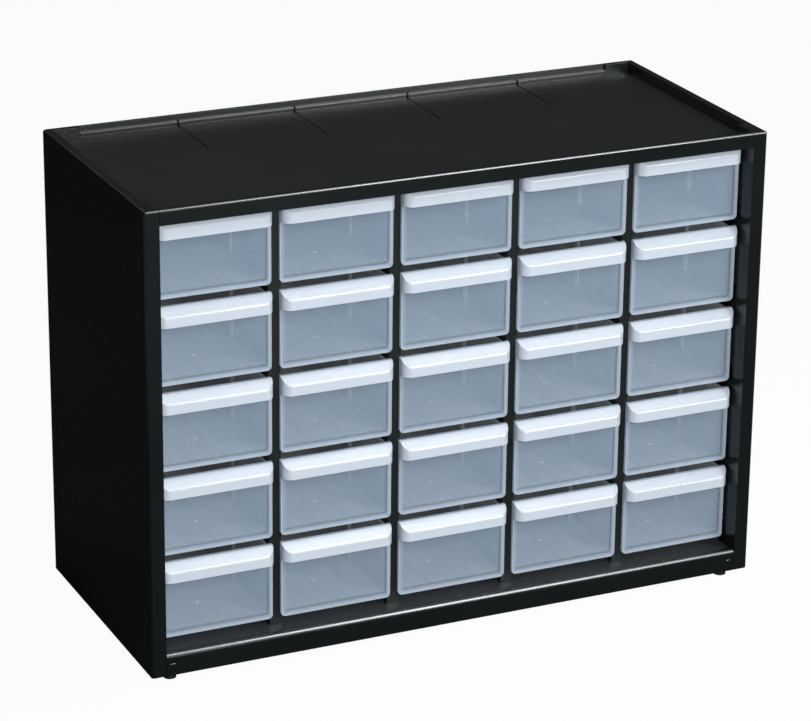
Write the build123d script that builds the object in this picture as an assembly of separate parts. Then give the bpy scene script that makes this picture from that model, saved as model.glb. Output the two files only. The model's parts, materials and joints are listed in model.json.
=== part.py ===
from build123d import *
import math
import os

# A small-parts cabinet: a moulded case with a shallow tray on top, and a grid of
# translucent drawers that slide out to the front on runners.
# Millimetres. +X is to the right, -Y is the front, +Z is up. The origin is the centre of
# the footprint, on the surface that the feet stand on.

# ---- drawer grid
columns = 5
rows = 5
front_width = 65.0        # drawer front, across
front_height = 44.0       # drawer front, up
front_thickness = 1.8
front_corner = 2.5        # rounding of a front's lower corners
column_gap = 5.0          # between neighbouring fronts
row_gap = 4.2             # between fronts one above the other
front_recess = 12.6       # drawer fronts lie this far behind the face of the case

# ---- drawer box
drawer_length = 138.0     # from the front's face to the outside of the rear wall
side_inset = 1.2          # front's edge to the box's side
bottom_rise = 1.8         # front's lower edge to the underside of the box
top_drop = 1.4            # front's upper edge to the rim of the box
drawer_wall = 1.4
box_bevel = 1.6           # on the outside of the box's lower edges
rear_clearance = 2.75     # box's rear wall to the back panel

# ---- guides for a partition inside a drawer
guide_depth = 50.0        # behind the front
guide_slot = 1.6
guide_rib = 0.9
guide_height = 30.0

# ---- pull lip
lip_reach = 5.6           # how far it stands out from the front
lip_fall = 4.6            # its upper face slopes down by this
lip_height = 10.2         # from the front's upper edge to the lip's lower edge
lip_wall = 1.5
lip_corner = 5.5          # plan rounding of its outer corners
lip_nose = 1.4            # rounding between the sloping and the upright face

# ---- case
skin = 2.5                # side panel wall
stile_width = 8.5
stile_depth = 17.4
side_reveal = 1.5         # stile to the nearest front
edge_radius = 1.5         # rounding of the case's upper edges
corner_bevel = 1.0        # on the case's upright edges
return_width = 20.0       # side panel's flange along the back
bearer_reach = 5.0        # side panel's strips under the deck and the tray floor
fit = 0.15                # gap between pieces that slot together

# ---- base
sill_height = 12.8
nose_radius = 3.0         # round upper edge of the sill
deck_drop = 1.5           # deck below the top of the sill
deck_thickness = 2.2
sill_clearance = 3.6      # top of the sill to the lowest fronts
skirt = 2.2
rib = 1.6                 # stiffening ribs everywhere
under_rib = 5.0           # how far the ribs reach down below the deck

# ---- top
top_clearance = 0.5       # highest fronts to the rail
rail_height = 8.6
rail_thickness = 3.0
floor_lift = 0.6          # rail's lower edge to the underside of the tray floor
floor_thickness = 2.2
rim_width = 5.0           # side and rear rims of the tray
step_height = 2.9         # lower band of the rear rim
step_bevel = 0.8
rim_upper = 3.4           # thickness of the rear rim above its step
rebate = 0.6              # edge of the tray floor, lowered under the side panels' rims
groove_length = 45.0      # shallow grooves in the tray floor over the dividers
groove_width = 1.2
groove_depth = 0.4

# ---- back
back_thickness = 2.0
channel_wall = 1.2        # ribs that hold an edge of a divider
channel_reach = 2.5
border_width = 9.0        # raised border on the outside of the back
border_height = 0.8
keyhole_spacing = 240.0
keyhole_height = 205.0    # above the case's bottom
keyhole_head = 4.0        # radius
keyhole_slot = 2.1        # half width
keyhole_travel = 9.0

# ---- dividers and runners
web = 3.0
post_depth = 3.0
runner_clearance = 0.3    # under and beside a drawer's front stop
ledge_thickness = 2.0
ledge_bearing = 4.0       # how far a ledge reaches in under the box
guide_gap = 0.7           # runner's upright to the box's side
runner_guide = 6.0        # height of the runner's upright
runner_upright = 1.5      # thickness of the upright on a side panel
tab_length = 14.0
window_margin = 3.0       # web left above and below a window
window_bar = 5.0          # web left between windows
window_start = 58.0       # behind the fronts, at a window's upper edge
window_slant = 16.0       # further back by this at the lower edge of the first window
windows_per_row = 2

# ---- feet
foot_height = 4.5
foot_radius = 3.5
peg_width = 3.4           # square peg that presses into the base
peg_length = 5.0
peg_gap = 0.05
socket_spare = 1.0        # socket's depth beyond the peg
boss_wall = 2.2
foot_side_inset = 13.0    # foot centre to the side of the case
foot_front_inset = 8.0    # foot centre to the front of the case

# ---- worked out from the sizes above
column_pitch = front_width + column_gap
row_pitch = front_height + row_gap
case_width = columns * column_pitch - column_gap + 2 * (side_reveal + stile_width)
case_depth = front_recess + drawer_length + rear_clearance + back_thickness + fit + skin
bottom = foot_height
front_y = -case_depth / 2
back_y = case_depth / 2
half_width = case_width / 2
inner_wall = half_width - skin
inner_stile = half_width - stile_width
first_front_z = bottom + sill_height + sill_clearance
rail_z = first_front_z + rows * row_pitch - row_gap + top_clearance
top_z = rail_z + rail_height
floor_under = rail_z + floor_lift
floor_top = floor_under + floor_thickness
deck_top = bottom + sill_height - deck_drop
deck_under = deck_top - deck_thickness
fronts_y = front_y + front_recess
post_y = fronts_y + front_thickness + runner_clearance
back_outer = back_y - skin - fit
back_inner = back_outer - back_thickness
body_width = front_width - 2 * side_inset
body_gap = column_pitch - body_width
ledge_z = bottom_rise - runner_clearance          # above a front's lower edge
divider_xs = [(i + 1 - columns / 2) * column_pitch for i in range(columns - 1)]
column_xs = [(i + 0.5 - columns / 2) * column_pitch for i in range(columns)]
row_zs = [first_front_z + i * row_pitch for i in range(rows)]
socket_width = peg_width + 2 * peg_gap
boss_half = socket_width / 2 + boss_wall
foot_ys = (front_y + foot_front_inset, back_inner - fit - boss_half)
foot_places = [(side * (half_width - foot_side_inset), y) for y in foot_ys for side in (-1, 1)]


def slab(x, y, z):
    """Block between the two limits given along each axis."""
    limits = (x, y, z)
    centre = [(low + high) / 2 for low, high in limits]
    size = [high - low for low, high in limits]
    return Pos(*centre) * Box(*size)


def square_post(x, y, half, z):
    """Upright square post centred at a place in plan."""
    return slab((x - half, x + half), (y - half, y + half), z)


def drawn_along_x(points, x_low, x_high):
    """Solid with the side-view outline given as (y, z) points."""
    outline = Polyline(*[(x_low, y, z) for y, z in points], close=True)
    return extrude(make_face(outline), x_high - x_low, dir=(1, 0, 0))


def drawn_up(points, z_low, z_high):
    """Solid with the plan outline given as (x, y) points."""
    outline = Polyline(*[(x, y, z_low) for x, y in points], close=True)
    return extrude(make_face(outline), z_high - z_low, dir=(0, 0, 1))


def upright_edges(solid, x, y):
    """Upright edges of a solid at the given place in plan."""
    return [
        edge
        for edge in solid.edges().filter_by(Axis.Z)
        if abs(edge.center().X - x) < 0.01 and abs(edge.center().Y - y) < 0.01
    ]


# ---------------------------------------------------------------- drawer

def pull_lip():
    """Hollow lip along the top of a front, open below for the fingers."""
    half = front_width / 2
    lower = front_height - lip_height
    profile = [(0, lower), (-lip_reach, lower), (-lip_reach, front_height - lip_fall), (0, front_height)]
    outside = drawn_along_x(profile, -half, half)
    outside = fillet(outside.edges().filter_by(Axis.X).group_by(Axis.Y)[0].sort_by(Axis.Z)[-1], lip_nose)
    plan = make_face(Polyline((-half, 0), (-half, -lip_reach), (half, -lip_reach), (half, 0), close=True))
    plan = fillet(plan.vertices().group_by(Axis.Y)[0], lip_corner)
    outside &= extrude(plan, front_height)

    # the hollow has a flat across each corner where its own rounding would be
    hollow_nose = -lip_reach + lip_wall
    hollow_profile = [
        (0, lower),
        (hollow_nose, lower),
        (hollow_nose, front_height - lip_fall - lip_wall),
        (0, front_height - lip_wall),
    ]
    hollow = drawn_along_x(hollow_profile, -half + lip_wall, half - lip_wall)
    corners = hollow.edges().filter_by(Axis.Z).group_by(Axis.Y)[0]
    return outside - chamfer(corners, flat_for_rounding(lip_corner - lip_wall))


def flat_for_rounding(radius):
    """Bevel whose flat touches the middle of a rounding with the given radius."""
    return (2 - math.sqrt(2)) * radius


def drawer():
    """One drawer: lower edge of its front at z 0, face of its front at y 0."""
    half = body_width / 2
    rim = front_height - top_drop
    inner_half = half - drawer_wall
    floor = bottom_rise + drawer_wall
    front = slab((-front_width / 2, front_width / 2), (0, front_thickness), (0, front_height))
    front = fillet(front.edges().filter_by(Axis.Y).group_by(Axis.Z)[0], front_corner)

    box = slab((-half, half), (0, drawer_length), (bottom_rise, rim))
    lower_edges = box.faces().sort_by(Axis.Z)[0].edges().sort_by(Axis.Y)[1:]
    box = chamfer(lower_edges, box_bevel)
    inside = slab((-inner_half, inner_half), (front_thickness, drawer_length - drawer_wall), (floor, rim))
    shape = front + box + pull_lip() - inside

    guide_z = (floor - drawer_wall / 2, floor + guide_height)
    for side in (-1, 1):
        guide_x = sorted((side * (half - drawer_wall / 2), side * (inner_half - guide_rib)))
        for offset in (-(guide_slot + guide_rib) / 2, (guide_slot + guide_rib) / 2):
            middle = guide_depth + offset
            shape += slab(guide_x, (middle - guide_rib / 2, middle + guide_rib / 2), guide_z)
    return shape


# ---------------------------------------------------------------- case

def side_panel():
    """Left side panel: skin, front stile, flange along the back, rim and runners."""
    outer = -half_width
    inner = -inner_wall
    stile_x = -inner_stile
    plan = [
        (outer, front_y),
        (stile_x, front_y),
        (stile_x, front_y + stile_depth),
        (stile_x - skin, front_y + stile_depth),
        (stile_x - skin, front_y + skin),
        (inner, front_y + skin),
        (inner, back_y - skin),
        (outer + return_width, back_y - skin),
        (outer + return_width, back_y),
        (outer, back_y),
    ]
    shape = drawn_up(plan, bottom, top_z)

    # the rim beside the tray, its corner at the back and the cap of the stile
    rim_z = (floor_top - rebate + fit, top_z)
    shape += slab((outer, outer + rim_width), (front_y, back_y), rim_z)
    shape += slab((outer, outer + return_width), (back_y - rim_width, back_y), rim_z)
    shape += slab((outer, stile_x), (front_y, front_y + stile_depth), rim_z)

    shape = chamfer(upright_edges(shape, outer, front_y) + upright_edges(shape, outer, back_y), corner_bevel)
    top_edges = shape.faces().sort_by(Axis.Z)[-1].edges()
    shape = fillet([edge for edge in top_edges if on_outside(edge.center())], edge_radius)

    # runners: a ledge from the skin with an upright that keeps the drawer in line
    body_side = -half_width + stile_width + side_reveal + side_inset
    upright = body_side - guide_gap
    for z in row_zs:
        ledge_top = z + ledge_z
        runner = [
            (inner - skin / 2, ledge_top - ledge_thickness),
            (body_side + ledge_bearing, ledge_top - ledge_thickness),
            (body_side + ledge_bearing, ledge_top),
            (upright, ledge_top),
            (upright, ledge_top + runner_guide),
            (upright - runner_upright, ledge_top + runner_guide),
            (upright - runner_upright, ledge_top),
            (inner - skin / 2, ledge_top),
        ]
        outline = Polyline(*[(x, post_y, height) for x, height in runner], close=True)
        shape += extrude(make_face(outline), back_inner - fit - post_y, dir=(0, 1, 0))

    # bearers below the deck's and the tray floor's edges
    bearer_x = (inner - skin / 2, inner + bearer_reach)
    bearer_y = (front_y + stile_depth - skin, back_inner - fit)
    for z in (deck_under - rib - fit, floor_under - rib - fit):
        shape += slab(bearer_x, bearer_y, (z, z + rib))
    return shape


def on_outside(point):
    """Whether a point lies on the front, left or back face of the left side panel."""
    near_side = abs(point.X + half_width) < edge_radius
    near_end = abs(abs(point.Y) - case_depth / 2) < edge_radius
    return near_side or near_end


def top_panel():
    """Tray floor with the front rail, the stepped rear rim and channels for the dividers."""
    rail_x = inner_stile - fit
    floor_x = inner_wall - fit
    rear_x = half_width - return_width - fit
    stile_back = front_y + stile_depth + fit
    floor_end = back_y - skin - fit

    rail = slab((-rail_x, rail_x), (front_y, front_y + rail_thickness), (rail_z, top_z))
    rail = fillet(rail.edges().filter_by(Axis.X).group_by(Axis.Z)[-1].sort_by(Axis.Y)[0], edge_radius)
    floor_plan = [
        (-rail_x, front_y + rail_thickness / 2),
        (rail_x, front_y + rail_thickness / 2),
        (rail_x, stile_back),
        (floor_x, stile_back),
        (floor_x, floor_end),
        (rear_x, floor_end),
        (rear_x, back_y),
        (-rear_x, back_y),
        (-rear_x, floor_end),
        (-floor_x, floor_end),
        (-floor_x, stile_back),
        (-rail_x, stile_back),
    ]
    shape = rail + drawn_up(floor_plan, floor_under, floor_top)
    rim_profile = [
        (back_y - rim_width, floor_under),
        (back_y - rim_width, floor_top + step_height - step_bevel),
        (back_y - rim_width + step_bevel, floor_top + step_height),
        (back_y - rim_upper, floor_top + step_height),
        (back_y - rim_upper, top_z),
        (back_y - edge_radius, top_z),
        (back_y, top_z - edge_radius),
        (back_y, floor_under),
    ]
    shape += drawn_along_x(rim_profile, -rear_x, rear_x)

    # the floor's edge is lowered where a side panel's rim lies over it
    side_x = half_width - rim_width - fit
    rear_y = back_y - rim_width - fit
    for side in (-1, 1):
        border = [
            (side * side_x, stile_back - fit),
            (side * half_width, stile_back - fit),
            (side * half_width, back_y),
            (side * rear_x, back_y),
            (side * rear_x, rear_y),
            (side * side_x, rear_y),
        ]
        shape -= drawn_up(border, floor_top - rebate, top_z)

    channel_y = (post_y + post_depth + fit, back_inner - fit)
    channel_z = (floor_under - channel_reach, floor_under + floor_thickness / 2)
    groove_y = (back_y - rim_width - groove_length, back_y - rim_upper)
    for x in divider_xs:
        for side in (-1, 1):
            wall = sorted((x + side * (web / 2 + fit), x + side * (web / 2 + fit + channel_wall)))
            shape += slab(wall, channel_y, channel_z)
        groove_x = (x - groove_width / 2, x + groove_width / 2)
        shape -= slab(groove_x, groove_y, (floor_top - groove_depth, floor_top + step_height))
    return shape


def base_panel():
    """Deck with a round-nosed sill, skirts, ribs, bosses for the feet and slots for the dividers."""
    sill_x = inner_stile - fit
    deck_x = inner_wall - fit
    under_x = half_width - max(stile_width, skin + bearer_reach) - fit
    stile_back = front_y + stile_depth + fit
    end_y = back_inner - fit
    nose_z = bottom + sill_height - nose_radius

    front_wall = slab((-sill_x, sill_x), (front_y, front_y + skirt), (bottom, nose_z))
    sill = slab((-sill_x, sill_x), (front_y, front_y + 2 * nose_radius), (deck_under, bottom + sill_height))
    nose = Pos(0, front_y + nose_radius, nose_z) * Rot(0, 90, 0) * Cylinder(nose_radius, 2 * sill_x)
    sill &= nose + slab((-sill_x, sill_x), (front_y, front_y + 2 * nose_radius), (deck_under, nose_z))
    deck = drawn_up(
        [
            (-sill_x, front_y + nose_radius),
            (sill_x, front_y + nose_radius),
            (sill_x, stile_back),
            (deck_x, stile_back),
            (deck_x, end_y),
            (-deck_x, end_y),
            (-deck_x, stile_back),
            (-sill_x, stile_back),
        ],
        deck_under,
        deck_top,
    )
    shape = front_wall + sill + deck
    shape += slab((-under_x, under_x), (end_y - skirt, end_y), (bottom, deck_top))

    rib_z = (deck_under - under_rib, deck_under + deck_thickness / 2)
    for x in divider_xs:
        shape += slab((x - rib / 2, x + rib / 2), (front_y + skirt / 2, end_y - skirt / 2), rib_z)
    shape += slab((-under_x, under_x), (-rib / 2, rib / 2), rib_z)

    boss_z = (bottom, deck_under + deck_thickness / 2)
    socket_z = (bottom, bottom + peg_length + socket_spare)
    for x, y in foot_places:
        shape += square_post(x, y, boss_half, boss_z)
        shape -= square_post(x, y, socket_width / 2, socket_z)

    for x in divider_xs:
        slot_x = (x - web / 2 - fit, x + web / 2 + fit)
        for tab in tab_limits():
            slot_y = (tab[0] - fit, tab[1] + fit)
            shape -= slab(slot_x, slot_y, (deck_under - fit, deck_top + fit))
    return shape


def back_panel():
    """Flat back with channels inside for the dividers, a raised border and keyhole hangers."""
    half = inner_wall - fit
    low = bottom + fit
    high = floor_under - fit
    shape = slab((-half, half), (back_inner, back_outer), (low, high))

    outer_x = half_width - return_width - fit
    field = slab((-outer_x, outer_x), (back_outer, back_outer + border_height), (low, high))
    field -= slab(
        (-outer_x + border_width, outer_x - border_width),
        (back_outer, back_outer + border_height),
        (low + border_width, high - border_width),
    )
    shape += field

    channel_z = (deck_top + fit, high - channel_reach - fit)
    for x in divider_xs:
        for side in (-1, 1):
            wall = sorted((x + side * (web / 2 + fit), x + side * (web / 2 + fit + channel_wall)))
            shape += slab(wall, (back_inner - channel_reach, back_inner), channel_z)

    head_z = bottom + keyhole_height
    through = 2 * (back_thickness + border_height)
    for x in (-keyhole_spacing / 2, keyhole_spacing / 2):
        head = Pos(x, back_inner, head_z) * Rot(90, 0, 0) * Cylinder(keyhole_head, through)
        neck = slab(
            (x - keyhole_slot, x + keyhole_slot),
            (back_inner - through / 2, back_inner + through / 2),
            (head_z, head_z + keyhole_travel + keyhole_slot),
        )
        shape -= head + neck
    return shape


def tab_limits():
    """Front and back limits of the tabs below a divider."""
    first = post_y + post_depth + tab_length
    last = back_inner - 2 * tab_length
    return ((first, first + tab_length), (last, last + tab_length))


def divider_windows(row_z):
    """Outlines, as (y, z) points, of the openings in a divider beside one row of drawers."""
    low = row_z + ledge_z + runner_guide + window_margin
    high = row_z + row_pitch + ledge_z - ledge_thickness - window_margin
    start = fronts_y + window_start
    end = back_inner - channel_reach - window_bar
    width = (end - start - (windows_per_row - 1) * window_bar) / windows_per_row
    outlines = []
    for i in range(windows_per_row):
        near = start + i * (width + window_bar)
        lower_near = near + (window_slant if i == 0 else 0)
        outlines.append([(lower_near, low), (near, high), (near + width, high), (near + width, low)])
    return outlines


def divider():
    """Upright divider, centred at x 0: web with windows, front post, tabs and runners."""
    end_y = back_inner - fit
    high = floor_under - fit
    outline = [(post_y, deck_top + fit), (post_y, high), (end_y, high), (end_y, deck_top + fit)]
    shape = drawn_along_x(outline, -web / 2, web / 2)
    for z in row_zs:
        for window in divider_windows(z):
            shape -= drawn_along_x(window, -web, web)

    post_half = body_gap / 2 - runner_clearance
    shape += slab((-post_half, post_half), (post_y, post_y + post_depth), (deck_top + fit, high))
    for near, far in tab_limits():
        shape += slab((-web / 2, web / 2), (near, far), (deck_under, deck_top + deck_thickness))

    guide_half = body_gap / 2 - guide_gap
    ledge_half = body_gap / 2 + ledge_bearing
    for z in row_zs:
        ledge_top = z + ledge_z
        runner = [
            (-ledge_half, ledge_top - ledge_thickness),
            (ledge_half, ledge_top - ledge_thickness),
            (ledge_half, ledge_top),
            (guide_half, ledge_top),
            (guide_half, ledge_top + runner_guide),
            (-guide_half, ledge_top + runner_guide),
            (-guide_half, ledge_top),
            (-ledge_half, ledge_top),
        ]
        face = make_face(Polyline(*[(x, post_y, height) for x, height in runner], close=True))
        shape += extrude(face, end_y - channel_reach - fit - post_y, dir=(0, 1, 0))
    return shape


def foot():
    """Round foot with a square peg that presses into the base; its top is at the case's bottom."""
    disc = Cylinder(foot_radius, foot_height, align=(Align.CENTER, Align.CENTER, Align.MIN))
    return disc + square_post(0, 0, peg_width / 2, (foot_height / 2, foot_height + peg_length))


# ---------------------------------------------------------------- write the pieces

os.makedirs("parts", exist_ok=True)
left_side = side_panel()
one_drawer = drawer()
one_divider = divider()
one_foot = foot()

pieces = {
    "left_side_panel": left_side,
    "right_side_panel": mirror(left_side, Plane.YZ),
    "top_panel": top_panel(),
    "base_panel": base_panel(),
    "back_panel": back_panel(),
    "feet": Compound([Pos(x, y, 0) * one_foot for x, y in foot_places]),
}
for number, x in enumerate(divider_xs, 1):
    pieces[f"divider_{number}"] = Pos(x, 0, 0) * one_divider
for row, z in enumerate(reversed(row_zs), 1):
    for column, x in enumerate(column_xs, 1):
        pieces[f"drawer_r{row}c{column}"] = Pos(x, fronts_y, z) * one_drawer

for name, piece in pieces.items():
    export_step(piece, f"parts/{name}.step")
print(f"case {case_width:.1f} wide, {case_depth:.1f} deep, {top_z:.1f} high with its feet")
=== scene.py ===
"""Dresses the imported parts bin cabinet: finished mouldings, frosted drawers, lights and camera."""

import json
import math

import bmesh
import bpy
from mathutils import Matrix, Vector


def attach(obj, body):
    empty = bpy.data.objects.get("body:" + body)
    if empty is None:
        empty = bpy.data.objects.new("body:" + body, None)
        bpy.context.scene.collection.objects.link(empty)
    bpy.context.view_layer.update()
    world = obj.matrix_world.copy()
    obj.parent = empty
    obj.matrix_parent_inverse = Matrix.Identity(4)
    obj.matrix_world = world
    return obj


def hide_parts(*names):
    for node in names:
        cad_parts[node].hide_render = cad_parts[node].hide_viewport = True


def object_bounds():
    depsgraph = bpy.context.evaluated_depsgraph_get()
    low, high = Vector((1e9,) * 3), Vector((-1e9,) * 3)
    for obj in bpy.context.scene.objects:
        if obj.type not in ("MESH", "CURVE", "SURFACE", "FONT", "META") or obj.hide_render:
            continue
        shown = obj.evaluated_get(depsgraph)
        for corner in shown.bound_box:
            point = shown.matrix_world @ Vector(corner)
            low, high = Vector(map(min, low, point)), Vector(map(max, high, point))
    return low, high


bl_info = {
    "name": "Parts bin cabinet finish",
    "version": (1, 0, 0),
    "blender": (4, 5, 0),
    "location": "3D View > Sidebar > Cabinet",
    "description": "Finishes a small-parts cabinet and sets its stage",
    "category": "Object",
}

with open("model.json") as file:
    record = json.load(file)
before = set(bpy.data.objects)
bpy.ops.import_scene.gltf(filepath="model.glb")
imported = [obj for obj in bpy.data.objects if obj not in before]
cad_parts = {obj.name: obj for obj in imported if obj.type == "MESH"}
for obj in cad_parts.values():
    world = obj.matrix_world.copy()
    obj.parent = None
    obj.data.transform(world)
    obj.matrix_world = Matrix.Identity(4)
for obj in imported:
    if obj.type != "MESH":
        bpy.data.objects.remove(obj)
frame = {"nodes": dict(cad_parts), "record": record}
CAD_LOW, CAD_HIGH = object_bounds()
MM = 0.001

# ---- which nodes get which finish
SHELL_NODES = ("left_side_panel", "right_side_panel", "top_panel", "base_panel", "back_panel")
DIVIDER_NODES = tuple(sorted(n for n in frame["nodes"] if n.startswith("divider_")))
DRAWER_NODES = tuple(sorted(n for n in frame["nodes"] if n.startswith("drawer_")))
FOOT_NODE = "feet"
BODY_OF_NODE = {
    node: body
    for body, nodes in frame["record"]["behaviour"]["bodies"].items()
    for node in nodes
}

# ---- the drawer grid, in metres
COLUMNS = 5
FRONT_WIDTH = 65.0 * MM
FRONT_HEIGHT = 44.0 * MM
FRONT_THICKNESS = 1.8 * MM
COLUMN_PITCH = 70.0 * MM
ROW_PITCH = 48.2 * MM
FIRST_LEFT = -((COLUMNS - 1) * COLUMN_PITCH + FRONT_WIDTH) / 2
FIRST_LOW = 20.9 * MM
FRONTS_Y = CAD_LOW.y + 12.6 * MM

# ---- a drawer; heights are above its front's lower edge
PLATE_BACK = FRONTS_Y + FRONT_THICKNESS * 1.02   # just behind the front plate
LIP_BACK = FRONTS_Y - 0.3 * MM                   # just in front of it, where the lip is alone
LIP_LOW = 36.0 * MM
LIP_END = 6.0 * MM                               # length of a lip's end that gets a softer edge
DRAWER_FLOOR = 3.2 * MM
GATE_Y = FRONTS_Y + 30.0 * MM                    # middle of the mould's filling mark

# ---- the case
DECK_TOP = 15.8 * MM
SILL_BACK = CAD_LOW.y + 6.0 * MM
TRAY_TOP = CAD_HIGH.z - 5.8 * MM
BORDER = 5.2 * MM          # sides and rear rim, beyond the deck and the tray floor
RAIL = 3.2 * MM            # front rail, before the tray floor
SNAP_X = 170.5 * MM        # ends of the snap tabs, from the middle
SNAP_HEIGHT = 10.8 * MM
SNAP_HALF_SIZE = (2.3 * MM, 0.5 * MM, 0.8 * MM)
SNAP_SINK = 0.25 * MM      # their middles, behind the sill's front


# ---------------------------------------------------------------- settings

def colour_setting(name, description, default):
    """Setting that is a colour."""
    return bpy.props.FloatVectorProperty(
        name=name, description=description, default=default, min=0.0, max=1.0, subtype="COLOR"
    )


def share_setting(name, description, default):
    """Setting from 0 to 1."""
    return bpy.props.FloatProperty(
        name=name, description=description, default=default, min=0.0, max=1.0, subtype="FACTOR"
    )


def length_setting(name, description, default):
    """Setting that is a length."""
    return bpy.props.FloatProperty(
        name=name,
        description=description,
        default=default,
        min=0.0,
        subtype="DISTANCE",
        unit="LENGTH",
    )


class CabinetFinish(bpy.types.PropertyGroup):
    """Sizes and colours of the finish."""

    case_colour: colour_setting(
        "Case colour", "Colour of the black mouldings", (0.0035, 0.005, 0.005)
    )
    case_roughness: share_setting("Case roughness", "How dull the black mouldings are", 0.27)
    box_colour: colour_setting("Box colour", "Tint of a drawer's box", (0.74, 0.76, 0.77))
    # the front's blue is painted: a cool sheen the plate scatters, laid over the plastic's own pale
    # tint
    front_tint_and_cool_sheen: colour_setting("Front colour", "Tint of a drawer's front", (0.54, 0.7, 0.88))
    front_cover: share_setting(
        "Front milkiness", "How much each face of a drawer's front hides what lies behind it", 0.22
    )
    box_cover: share_setting(
        "Box milkiness", "How much each face of a drawer's box hides what lies behind it", 0.5
    )
    foot_colour: colour_setting("Foot colour", "Colour of the feet", (0.006, 0.006, 0.006))
    case_edge: length_setting(
        "Case edge round", "Rounding of the case's and the feet's sharp edges", 0.15 * MM
    )
    lip_round: length_setting(
        "Lip end round", "Rounding along the top of a pull lip's ends", 0.9 * MM
    )
    drawer_edge: length_setting(
        "Drawer edge round", "Rounding of the drawers' sharp edges", 0.25 * MM
    )


# ---------------------------------------------------------------- shader maths

class Wire:
    """A socket of a material's nodes that takes part in arithmetic."""

    def __init__(self, shop, socket):
        self.shop = shop
        self.socket = socket

    def _math(self, operation, first, second):
        return self.shop.node("ShaderNodeMath", {"operation": operation}, {0: first, 1: second})

    def __add__(self, other):
        return self._math("ADD", self, other)

    __radd__ = __add__

    def __sub__(self, other):
        return self._math("SUBTRACT", self, other)

    def __rsub__(self, other):
        return self._math("SUBTRACT", other, self)

    def __truediv__(self, other):
        return self._math("DIVIDE", self, other)

    def __mul__(self, other):
        return self._math("MULTIPLY", self, other)

    __rmul__ = __mul__

    def over(self, edge):
        """1 where this is above the edge, 0 elsewhere."""
        return self._math("GREATER_THAN", self, edge)

    def lower_of(self, other):
        """The lower of two values."""
        return self._math("MINIMUM", self, other)

    def cut_to_unit(self):
        """Kept between 0 and 1."""
        return self._math("MINIMUM", self._math("MAXIMUM", self, 0.0), 1.0)

    def repeated(self, pitch):
        """How far this lies past the last whole pitch."""
        return self._math("FLOORED_MODULO", self, pitch)


class MaterialShop:
    """Makes one material's nodes."""

    def __init__(self, name):
        self.material = bpy.data.materials.new(name)
        self.material.use_nodes = True
        self.nodes = self.material.node_tree.nodes
        self.links = self.material.node_tree.links
        self.nodes.clear()

    def connect(self, value, socket):
        """Links a wire to a socket, or sets the socket to a value."""
        if isinstance(value, Wire):
            self.links.new(value.socket, socket)
        else:
            socket.default_value = value

    def node(self, kind, settings=None, inputs=None, output=0):
        """Adds a node, sets it up, then fills its sockets with values or wires."""
        made = self.nodes.new(kind)
        for key, value in (settings or {}).items():
            setattr(made, key, value)
        for key, value in (inputs or {}).items():
            self.connect(value, made.inputs[key])
        return Wire(self, made.outputs[output])

    def place(self):
        """Where a point lies in the piece's own frame, in metres."""
        return self.node("ShaderNodeTexCoord", output="Object")

    def axes(self):
        """The place's X, Y and Z by themselves."""
        parts = self.nodes.new("ShaderNodeSeparateXYZ")
        self.links.new(self.place().socket, parts.inputs[0])
        return [Wire(self, output) for output in parts.outputs]

    def noise(self, scale, detail=3.0, stretch=(1.0, 1.0, 1.0)):
        """Cloudy pattern from 0 to 1, with about scale spots to the metre."""
        vector = self.place()
        if stretch != (1.0, 1.0, 1.0):
            vector = self.node("ShaderNodeMapping", {}, {"Vector": vector, "Scale": stretch})
        return self.node(
            "ShaderNodeTexNoise", {}, {"Vector": vector, "Scale": scale, "Detail": detail}
        )

    def blend(self, factor, first, second):
        """Colour between two colours."""
        made = self.nodes.new("ShaderNodeMix")
        made.data_type = "RGBA"
        self.connect(factor, made.inputs["Factor"])
        self.connect(first, made.inputs[6])
        self.connect(second, made.inputs[7])
        return Wire(self, made.outputs[2])

    def bump(self, height, distance):
        """Normal tilted by a height pattern that is distance deep, in metres."""
        inputs = {"Height": height, "Distance": distance, "Strength": 1.0}
        return self.node("ShaderNodeBump", {}, inputs)

    def end_in(self, surface):
        """Ends the material in a surface."""
        output = self.nodes.new("ShaderNodeOutputMaterial")
        self.links.new(surface.socket, output.inputs["Surface"])
        return self.material

    def finish(self, inputs):
        """Ends the material in one plain surface shader with these inputs."""
        return self.end_in(self.node("ShaderNodeBsdfPrincipled", {}, inputs))


def colour4(colour):
    """Colour with full opacity."""
    return (*colour, 1.0)


# ---------------------------------------------------------------- materials

MOULD_TEXTURE = 0.015 * MM            # depth of the mould's texture
DIVIDER_DULLNESS = 0.12               # added to the case's roughness
TRAY_DULLNESS = 0.16
TRAY_BAND = 0.2 * MM                  # above and below the tray floor's face
# painted reflection: a lighter colour on the deck between the sill and the drawers stands in for the
# drawer fronts mirrored in it
DECK_REFLECTION_COLOUR = (0.05, 0.053, 0.058)
DECK_REFLECTION_DEPTH = 12.0 * MM                # how far the painted reflection reaches behind the fronts' faces
DECK_REFLECTION_HEIGHT = 0.3 * MM
MILKY = (0.82, 0.88, 0.95)            # where a drawer's plastic is dense, and in the painted glow along a front's edges
DENSE_AND_GLOW_COVER = 0.68
EDGE_GLOW_BAND = 2.6 * MM                  # painted highlight: a milkier band along a front's edges, standing in for light caught in the plate's edges
EDGE_GLOW_SHARE = 0.6
FLOW_SCALE = 340.0                    # streaks of the flow in a box, to the metre
FLOW_STRETCH = (1.0, 0.04, 1.0)
FLOW_SHARE = 0.3
GATE_PATCH = 1.2 * MM                 # radius of the dense patch at the filling mark
GATE_PATCH_TOP = 6.0 * MM             # above a front's lower edge


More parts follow.
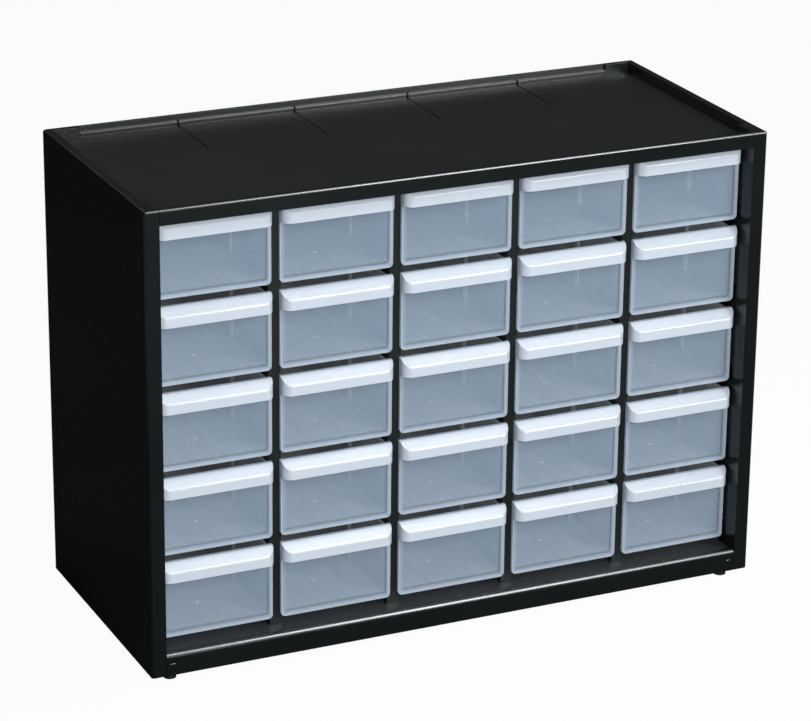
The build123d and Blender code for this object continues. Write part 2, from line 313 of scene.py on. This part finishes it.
def black_moulding(name, settings, dullness=0.0):
    """Glossy black plastic with a faint mould texture, duller on the tray, with a painted reflection
    of the drawer fronts on the deck.
    """
    shop = MaterialShop(name)
    haze = shop.noise(14.0)
    grain = shop.noise(1400.0, 2.0)
    waves = shop.noise(60.0, 2.0)
    lighter = tuple(channel * 1.6 for channel in settings.case_colour)
    unpainted_black = shop.blend(haze, colour4(settings.case_colour), colour4(lighter))
    x, y, z = shop.axes()
    inside = x.over(CAD_LOW.x + BORDER) * (1 - x.over(CAD_HIGH.x - BORDER))
    # painted reflection: mask of the deck strip in front of the drawers that gets the lighter colour
    deck_reflection_mask = inside * y.over(SILL_BACK) * (1 - y.over(FRONTS_Y + DECK_REFLECTION_DEPTH))
    deck_reflection_mask = deck_reflection_mask * (1 - z.over(DECK_TOP + DECK_REFLECTION_HEIGHT))
    on_tray = inside * y.over(CAD_LOW.y + RAIL) * (1 - y.over(CAD_HIGH.y - BORDER))
    on_tray = on_tray * z.over(TRAY_TOP - TRAY_BAND) * (1 - z.over(TRAY_TOP + TRAY_BAND))
    roughness = settings.case_roughness + dullness + on_tray * TRAY_DULLNESS
    return shop.finish(
        {
            "Base Color": shop.blend(deck_reflection_mask, unpainted_black, colour4(DECK_REFLECTION_COLOUR)),
            "Roughness": roughness + (haze - 0.5) * 0.1,
            "Specular IOR Level": 0.5,
            "Normal": shop.bump(grain * 0.3 + waves, MOULD_TEXTURE),
        }
    )


def frosted_drawer(name, settings):
    """Milky see-through plastic, denser in the pull lip and at the filling mark, with a painted glow
    along a front's edges and a painted cool sheen on the front.
    """
    shop = MaterialShop(name)
    x, y, z = shop.axes()
    across = (x - FIRST_LEFT).repeated(COLUMN_PITCH)
    up = (z - FIRST_LOW).repeated(ROW_PITCH)
    to_side = across.lower_of(FRONT_WIDTH - across)
    to_end = up.lower_of(FRONT_HEIGHT - up)
    in_plate = 1 - y.over(PLATE_BACK)
    lip = 1 - y.over(LIP_BACK)
    cloud = shop.noise(30.0)
    frost = shop.noise(2600.0, 2.0)
    flow = shop.noise(FLOW_SCALE, 2.0, FLOW_STRETCH)

    # each mask is full near its edge or middle and then fades
    # painted highlight: the band along a front's edges stands in for light caught inside them; the
    # lip and the filling mark are really denser
    edge = (1.2 - to_side.lower_of(to_end) / EDGE_GLOW_BAND).cut_to_unit() * in_plate
    off_gate = across - FRONT_WIDTH / 2
    along = y - GATE_Y
    gate = (1.6 - (off_gate * off_gate + along * along) / GATE_PATCH ** 2).cut_to_unit()
    gate = gate * (1 - up.over(GATE_PATCH_TOP))
    density_and_edge_glow = (edge * EDGE_GLOW_SHARE + lip + gate).cut_to_unit()

    # painted sheen: the front plate gets the bluer colour, its box the plastic's neutral tint
    plain = shop.blend(in_plate, colour4(settings.box_colour), colour4(settings.front_tint_and_cool_sheen))
    cover = settings.box_cover + in_plate * (settings.front_cover - settings.box_cover)
    cover = cover + (flow - 0.5) * (1 - in_plate) * FLOW_SHARE
    cover = cover + density_and_edge_glow * (DENSE_AND_GLOW_COVER - cover)
    cover = cover + gate * (1 - cover)
    return shop.finish(
        {
            "Base Color": shop.blend(density_and_edge_glow, plain, colour4(MILKY)),
            "Roughness": 0.15 + cloud * 0.1,
            "IOR": 1.5,
            "Alpha": cover.cut_to_unit(),
            "Normal": shop.bump(frost * 0.4 + cloud, MOULD_TEXTURE),
        }
    )


def foot_rubber(name, settings):
    """Dull black rubber."""
    shop = MaterialShop(name)
    grain = shop.noise(1800.0)
    return shop.finish(
        {
            "Base Color": colour4(settings.foot_colour),
            "Roughness": 0.62 + grain * 0.15,
            "Normal": shop.bump(grain, 0.03 * MM),
        }
    )


# ---------------------------------------------------------------- meshes

def merged_copy(node):
    """Copy of a node's mesh with its loose triangles joined and its flat faces whole."""
    shape = bmesh.new()
    shape.from_mesh(frame["nodes"][node].data)
    bmesh.ops.remove_doubles(shape, verts=shape.verts, dist=0.002 * MM)
    bmesh.ops.dissolve_limit(
        shape,
        angle_limit=math.radians(0.5),
        verts=shape.verts,
        edges=shape.edges,
        use_dissolve_boundaries=False,
    )
    return shape


def lower_left(node):
    """Lowest corner of a node's box, on its left and front."""
    corners = [vertex.co for vertex in frame["nodes"][node].data.vertices]
    return Vector(min(corner[axis] for corner in corners) for axis in range(3))


def round_edges(shape, width, segments=2, edges=None, least=35):
    """Rounds the given edges, or else all, where they turn by more than least degrees."""
    turned = math.radians(least)
    candidates = shape.edges if edges is None else edges
    bmesh.ops.bevel(
        shape,
        geom=[e for e in candidates if e.is_manifold and e.calc_face_angle(0.0) > turned],
        offset=width,
        offset_type="OFFSET",
        segments=segments,
        profile=0.5,
        affect="EDGES",
        clamp_overlap=True,
        material=-1,
    )


def add_snap_tab(shape, x):
    """Low oval end of a snap tab on the sill's front face, in line with a stile."""
    turn = Matrix.Diagonal((*SNAP_HALF_SIZE, 1.0))
    place = Matrix.Translation((x, CAD_LOW.y + SNAP_SINK, SNAP_HEIGHT))
    bmesh.ops.create_uvsphere(shape, u_segments=16, v_segments=10, radius=1.0, matrix=place @ turn)


def at_lip_end(vertex, left_low):
    """Whether a vertex lies at the left or right end of a drawer's lip."""
    off_middle = abs(vertex.co.x - (left_low.x + FRONT_WIDTH / 2))
    on_lip = vertex.co.y < LIP_BACK and vertex.co.z > left_low.z + LIP_LOW
    return on_lip and off_middle > FRONT_WIDTH / 2 - LIP_END


def round_lip_ends(shape, left_low, width):
    """Rounds the curved edges between a lip's sloping face and its rounded ends."""
    ends = [
        edge
        for edge in shape.edges
        if all(at_lip_end(vertex, left_low) for vertex in edge.verts)
        and all(face.normal.z > -0.1 for face in edge.link_faces)
        and any(face.normal.z > 0.3 for face in edge.link_faces)
    ]
    round_edges(shape, width, segments=3, edges=ends, least=20)


def add_gate_mark(shape, left_low):
    """Small flat-topped disc on a drawer's floor, where its mould was filled."""
    place = Vector((left_low.x + FRONT_WIDTH / 2, GATE_Y, left_low.z + DRAWER_FLOOR))
    bmesh.ops.create_cone(
        shape,
        cap_ends=True,
        segments=16,
        radius1=1.3 * MM,
        radius2=1.0 * MM,
        depth=0.6 * MM,
        matrix=Matrix.Translation(place),
    )


def finished_piece(name, shape, material, node):
    """Object that stands for a CAD node, on the node's own body, with the given material."""
    for face in shape.faces:
        face.smooth = True
    mesh = bpy.data.meshes.new(name)
    shape.to_mesh(mesh)
    shape.free()
    piece = bpy.data.objects.new(name, mesh)
    bpy.context.scene.collection.objects.link(piece)
    mesh.materials.append(material)
    even = piece.modifiers.new("even shading", "WEIGHTED_NORMAL")
    even.keep_sharp = True
    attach(piece, BODY_OF_NODE[node])
    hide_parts(node)
    return piece


# ---------------------------------------------------------------- operators

class CABINET_OT_shell(bpy.types.Operator):
    """Finish the side, top, base and back panels"""

    bl_idname = "cabinet.shell"
    bl_label = "Shell panels"

    def execute(self, context):
        settings = context.scene.cabinet_finish
        material = black_moulding("glossy black moulding", settings)
        for node in SHELL_NODES:
            shape = merged_copy(node)
            round_edges(shape, settings.case_edge)
            if node == "base_panel":
                add_snap_tab(shape, -SNAP_X)
                add_snap_tab(shape, SNAP_X)
            finished_piece(f"{node}_finished", shape, material, node)
        return {"FINISHED"}


class CABINET_OT_dividers(bpy.types.Operator):
    """Finish the dividers with their runners"""

    bl_idname = "cabinet.dividers"
    bl_label = "Dividers"

    def execute(self, context):
        settings = context.scene.cabinet_finish
        material = black_moulding("satin black moulding", settings, dullness=DIVIDER_DULLNESS)
        for node in DIVIDER_NODES:
            shape = merged_copy(node)
            round_edges(shape, settings.case_edge)
            finished_piece(f"{node}_finished", shape, material, node)
        return {"FINISHED"}


class CABINET_OT_drawers(bpy.types.Operator):
    """Finish the frosted drawers"""

    bl_idname = "cabinet.drawers"
    bl_label = "Drawers"

    def execute(self, context):
        settings = context.scene.cabinet_finish
        material = frosted_drawer("frosted drawer", settings)
        for node in DRAWER_NODES:
            shape = merged_copy(node)
            left_low = lower_left(node)
            round_lip_ends(shape, left_low, settings.lip_round)
            round_edges(shape, settings.drawer_edge)
            add_gate_mark(shape, left_low)
            finished_piece(f"{node}_finished", shape, material, node)
        return {"FINISHED"}


class CABINET_OT_feet(bpy.types.Operator):
    """Finish the rubber feet"""

    bl_idname = "cabinet.feet"
    bl_label = "Feet"

    def execute(self, context):
        settings = context.scene.cabinet_finish
        material = foot_rubber("foot rubber", settings)
        shape = merged_copy(FOOT_NODE)
        round_edges(shape, settings.case_edge)
        finished_piece("feet_finished", shape, material, FOOT_NODE)
        return {"FINISHED"}


# ---------------------------------------------------------------- stage

# ---- camera, solved from the photograph's corners
PHOTO_WIDTH = 811
CAMERA_PLACE = (-0.7410, -1.6025, 0.8011)
CAMERA_YAW = 24.85        # degrees to the right of straight ahead
CAMERA_DIP = 20.76        # degrees below the horizon
CAMERA_ROLL = 0.60
FOCAL_PIXELS = 3359.6
SENSOR_WIDTH = 36.0
CLIP_END = 50.0

# ---- surroundings; a level of 1 is white
WORLD_LEVEL = 0.07
FLOOR_LEVEL = 0.07                # as the object sees it
FLOOR_LEVEL_SEEN = 0.97           # as the camera sees it
FLOOR_OWN_LIGHT = 0.95            # share of its own light in what the camera sees
FLOOR_HALF_SIZE = 8.0
FLOOR_CARD_LEVEL = 0.35
FLOOR_CARD_HEIGHT = 0.01
LAMP_COLOUR = (0.94, 0.97, 1.0)

# ---- lamps: name, place, size, power in watts, whether they show as a gleam alone
LAMPS = (
    ("front strip", (0.63, -0.98, 1.22), (0.3, 0.55), 6.0, False),
    ("gleam card", (0.59, -0.9, 1.2), (0.35, 0.95), 36.0, True),
    ("front box", (-0.1, -1.65, 0.8), (0.5, 0.5), 14.0, False),
    ("right box", (0.8, -1.4, 0.9), (0.5, 0.5), 5.0, False),
    ("overhead box", (0.51, -0.1, 1.32), (0.4, 1.2), 4.0, False),
    ("left box", (-0.7, -1.6, 0.6), (0.5, 0.5), 4.0, False),
    ("low front box", (0.0, -1.9, 0.35), (0.5, 0.5), 7.0, False),
    ("back card", (-0.5, 1.2, 1.6), (0.8, 0.8), 5.0, True),
)

# ---- cards on the floor that face up: name, X and Y, size
FLOOR_CARDS = (
    ("rear floor card", (0.25, 0.85), (0.8, 1.2)),
    ("right floor card", (0.95, 0.0), (0.9, 0.6)),
    ("left floor card", (-1.0, -0.1), (0.8, 0.5)),
)


def add_camera():
    """Camera at the photograph's place and angle."""
    yaw, dip, roll = (math.radians(a) for a in (CAMERA_YAW, CAMERA_DIP, CAMERA_ROLL))
    ahead = Vector((math.sin(yaw) * math.cos(dip), math.cos(yaw) * math.cos(dip), -math.sin(dip)))
    right = Vector((math.cos(yaw), -math.sin(yaw), 0.0))
    up = right.cross(ahead)
    tilted_right = math.cos(roll) * right + math.sin(roll) * up
    tilted_up = math.cos(roll) * up - math.sin(roll) * right
    lens = bpy.data.cameras.new("photo camera")
    lens.sensor_width = SENSOR_WIDTH
    lens.lens = FOCAL_PIXELS * SENSOR_WIDTH / PHOTO_WIDTH
    lens.clip_end = CLIP_END
    camera = bpy.data.objects.new("photo camera", lens)
    turn = Matrix((tilted_right, tilted_up, -ahead)).transposed()
    camera.matrix_world = Matrix.Translation(CAMERA_PLACE) @ turn.to_4x4()
    bpy.context.scene.collection.objects.link(camera)
    bpy.context.scene.camera = camera


def add_soft_light(name, place, target, size, power, gleam_only):
    """Slightly cool soft box that faces the target, or a card that shows only as a gleam."""
    lamp = bpy.data.lights.new(name, "AREA")
    lamp.shape = "RECTANGLE"
    lamp.size, lamp.size_y = size
    lamp.energy = power
    lamp.color = LAMP_COLOUR
    box = bpy.data.objects.new(name, lamp)
    box.location = place
    box.rotation_euler = (Vector(target) - Vector(place)).to_track_quat("-Z", "Y").to_euler()
    box.visible_camera = False
    box.visible_diffuse = not gleam_only
    bpy.context.scene.collection.objects.link(box)


def add_lights():
    """All soft boxes and cards."""
    middle = (CAD_LOW + CAD_HIGH) / 2
    for name, place, size, power, gleam_only in LAMPS:
        add_soft_light(name, place, middle, size, power, gleam_only)
    for name, (x, y), size in FLOOR_CARDS:
        power = FLOOR_CARD_LEVEL * math.pi * size[0] * size[1]
        place = (x, y, FLOOR_CARD_HEIGHT)
        add_soft_light(name, place, (x, y, 1.0), size, power, True)


def add_world(level):
    """Even grey surroundings that the camera, also through a drawer, sees as white."""
    world = bpy.data.worlds.new("studio")
    world.use_nodes = True
    nodes, links = world.node_tree.nodes, world.node_tree.links
    nodes.clear()
    path = nodes.new("ShaderNodeLightPath")
    seen = nodes.new("ShaderNodeMath")
    seen.operation = "MAXIMUM"
    links.new(path.outputs["Is Camera Ray"], seen.inputs[0])
    links.new(path.outputs["Is Transmission Ray"], seen.inputs[1])
    strength = nodes.new("ShaderNodeMath")
    strength.operation = "MULTIPLY_ADD"
    links.new(seen.outputs[0], strength.inputs[0])
    strength.inputs[1].default_value = 1.0 - level
    strength.inputs[2].default_value = level
    background = nodes.new("ShaderNodeBackground")
    links.new(strength.outputs[0], background.inputs["Strength"])
    output = nodes.new("ShaderNodeOutputWorld")
    links.new(background.outputs[0], output.inputs["Surface"])
    bpy.context.scene.world = world


def add_floor():
    """Floor that the camera sees as white with a faint shadow, and the object as dark grey."""
    shape = bmesh.new()
    bmesh.ops.create_grid(shape, x_segments=1, y_segments=1, size=FLOOR_HALF_SIZE)
    mesh = bpy.data.meshes.new("floor")
    shape.to_mesh(mesh)
    shape.free()
    floor = bpy.data.objects.new("floor", mesh)
    bpy.context.scene.collection.objects.link(floor)
    shop = MaterialShop("floor white")
    seen = shop.node("ShaderNodeLightPath", output="Is Camera Ray")
    dark, white = (colour4((level,) * 3) for level in (FLOOR_LEVEL, FLOOR_LEVEL_SEEN))
    matt = shop.node("ShaderNodeBsdfDiffuse", {}, {"Color": shop.blend(seen, dark, white)})
    glow = shop.node("ShaderNodeEmission", {}, {"Color": (1.0, 1.0, 1.0, 1.0), "Strength": 1.0})
    mixed = shop.node("ShaderNodeMixShader", {}, {0: seen * FLOOR_OWN_LIGHT, 1: matt, 2: glow})
    mesh.materials.append(shop.end_in(mixed))


class CABINET_OT_stage(bpy.types.Operator):
    """Set the floor, the lights and the photograph's camera"""

    bl_idname = "cabinet.stage"
    bl_label = "Stage"

    def execute(self, context):
        add_camera()
        add_world(WORLD_LEVEL)
        add_floor()
        add_lights()
        context.scene.view_settings.view_transform = "Standard"
        return {"FINISHED"}


# ---------------------------------------------------------------- panel and start

class CABINET_PT_panel(bpy.types.Panel):
    """Lists the cabinet's operators and settings"""

    bl_idname = "CABINET_PT_panel"
    bl_label = "Parts bin cabinet"
    bl_space_type = "VIEW_3D"
    bl_region_type = "UI"
    bl_category = "Cabinet"

    def draw(self, context):
        for operator in OPERATORS:
            self.layout.operator(operator.bl_idname)
        settings = context.scene.cabinet_finish
        for name in settings.__annotations__:
            self.layout.prop(settings, name)


OPERATORS = (
    CABINET_OT_shell,
    CABINET_OT_dividers,
    CABINET_OT_drawers,
    CABINET_OT_feet,
    CABINET_OT_stage,
)
CLASSES = (CabinetFinish, *OPERATORS, CABINET_PT_panel)


def register():
    """Adds the classes and the settings."""
    for kind in CLASSES:
        bpy.utils.register_class(kind)
    bpy.types.Scene.cabinet_finish = bpy.props.PointerProperty(type=CabinetFinish)


def unregister():
    """Takes the classes and the settings away."""
    del bpy.types.Scene.cabinet_finish
    for kind in reversed(CLASSES):
        bpy.utils.unregister_class(kind)


def main():
    """Makes everything in order."""
    register()
    bpy.ops.cabinet.stage()
    bpy.ops.cabinet.shell()
    bpy.ops.cabinet.dividers()
    bpy.ops.cabinet.drawers()
    bpy.ops.cabinet.feet()


if __name__ == "__main__":
    main()
